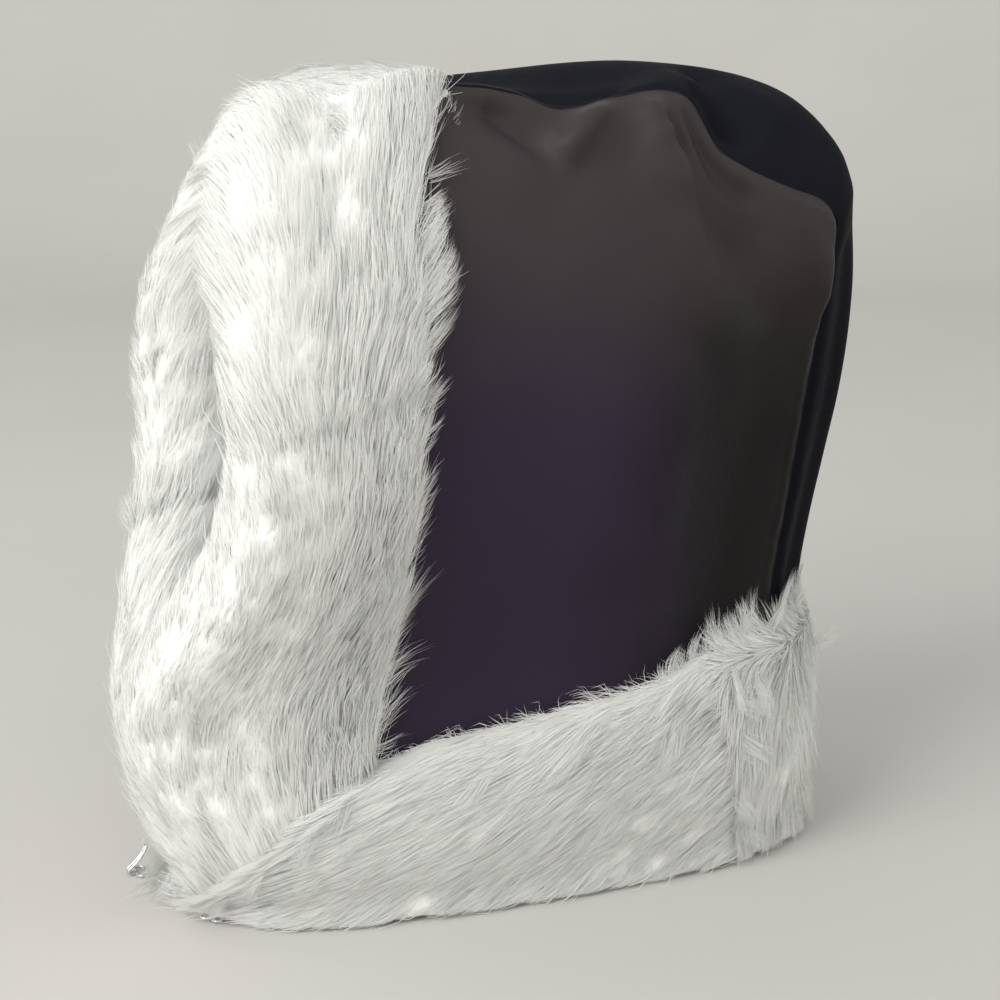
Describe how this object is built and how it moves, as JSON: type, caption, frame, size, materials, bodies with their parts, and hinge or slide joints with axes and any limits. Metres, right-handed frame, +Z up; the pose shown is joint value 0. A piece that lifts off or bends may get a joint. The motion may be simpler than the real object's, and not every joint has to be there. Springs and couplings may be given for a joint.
{
  "type": "fur-trimmed hood",
  "caption": "Soft cloth hood with a centre gusset over the crown and down the back, long fur around the face and the neck, closed at the throat by a wire hook and eye.",
  "frame": {"origin": "on the floor under the middle of the hood, half way between the sides and between the throat and the back", "axes": "+Z up as worn and as it stands, -Y the way the face opening looks, +X the wearer's left, X = 0 the plane between the two sides"},
  "size_m": [0.2256, 0.352, 0.3632],
  "materials": {
    "cloth": "smooth dense knit, slight sheen",
    "fur": "long soft white fur",
    "wire": "plated wire"
  },
  "bodies": {
    "root": {"side_panel_left": "cloth", "side_panel_right": "cloth", "centre_gusset": "cloth", "hook": "wire", "eye": "wire", "face_fur_arch": "fur", "face_fur_left": "fur", "face_fur_right": "fur", "neck_fur_left": "fur", "neck_fur_back": "fur", "neck_fur_right": "fur"}
  },
  "joints": []
}
